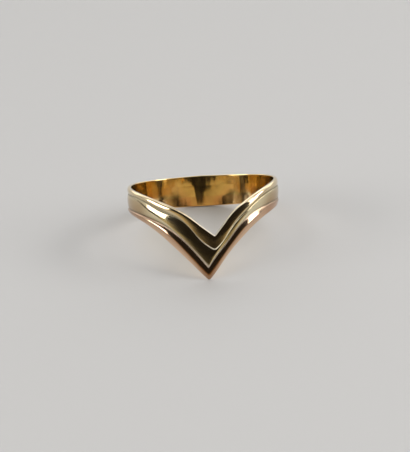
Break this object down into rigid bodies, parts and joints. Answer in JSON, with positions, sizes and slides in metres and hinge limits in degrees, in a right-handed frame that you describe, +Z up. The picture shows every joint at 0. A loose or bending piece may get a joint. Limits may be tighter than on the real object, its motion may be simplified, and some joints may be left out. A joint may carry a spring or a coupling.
{
  "type": "wishbone ring",
  "caption": "Gold wishbone finger ring: half-round strands of yellow, pale and rose gold joined in one band that dips to a point at the front.",
  "frame": {"origin": "on the table under the middle of the ring as it lies", "axes": "+Z up, -Y towards the point of the wishbone, +X to the right of someone who faces the point"},
  "size_m": [0.0186, 0.021, 0.0082],
  "materials": {
    "yellow_gold": "polished",
    "pale_gold": "polished",
    "rose_gold": "polished"
  },
  "bodies": {
    "root": {"wishbone_band": "yellow_gold"}
  },
  "joints": []
}
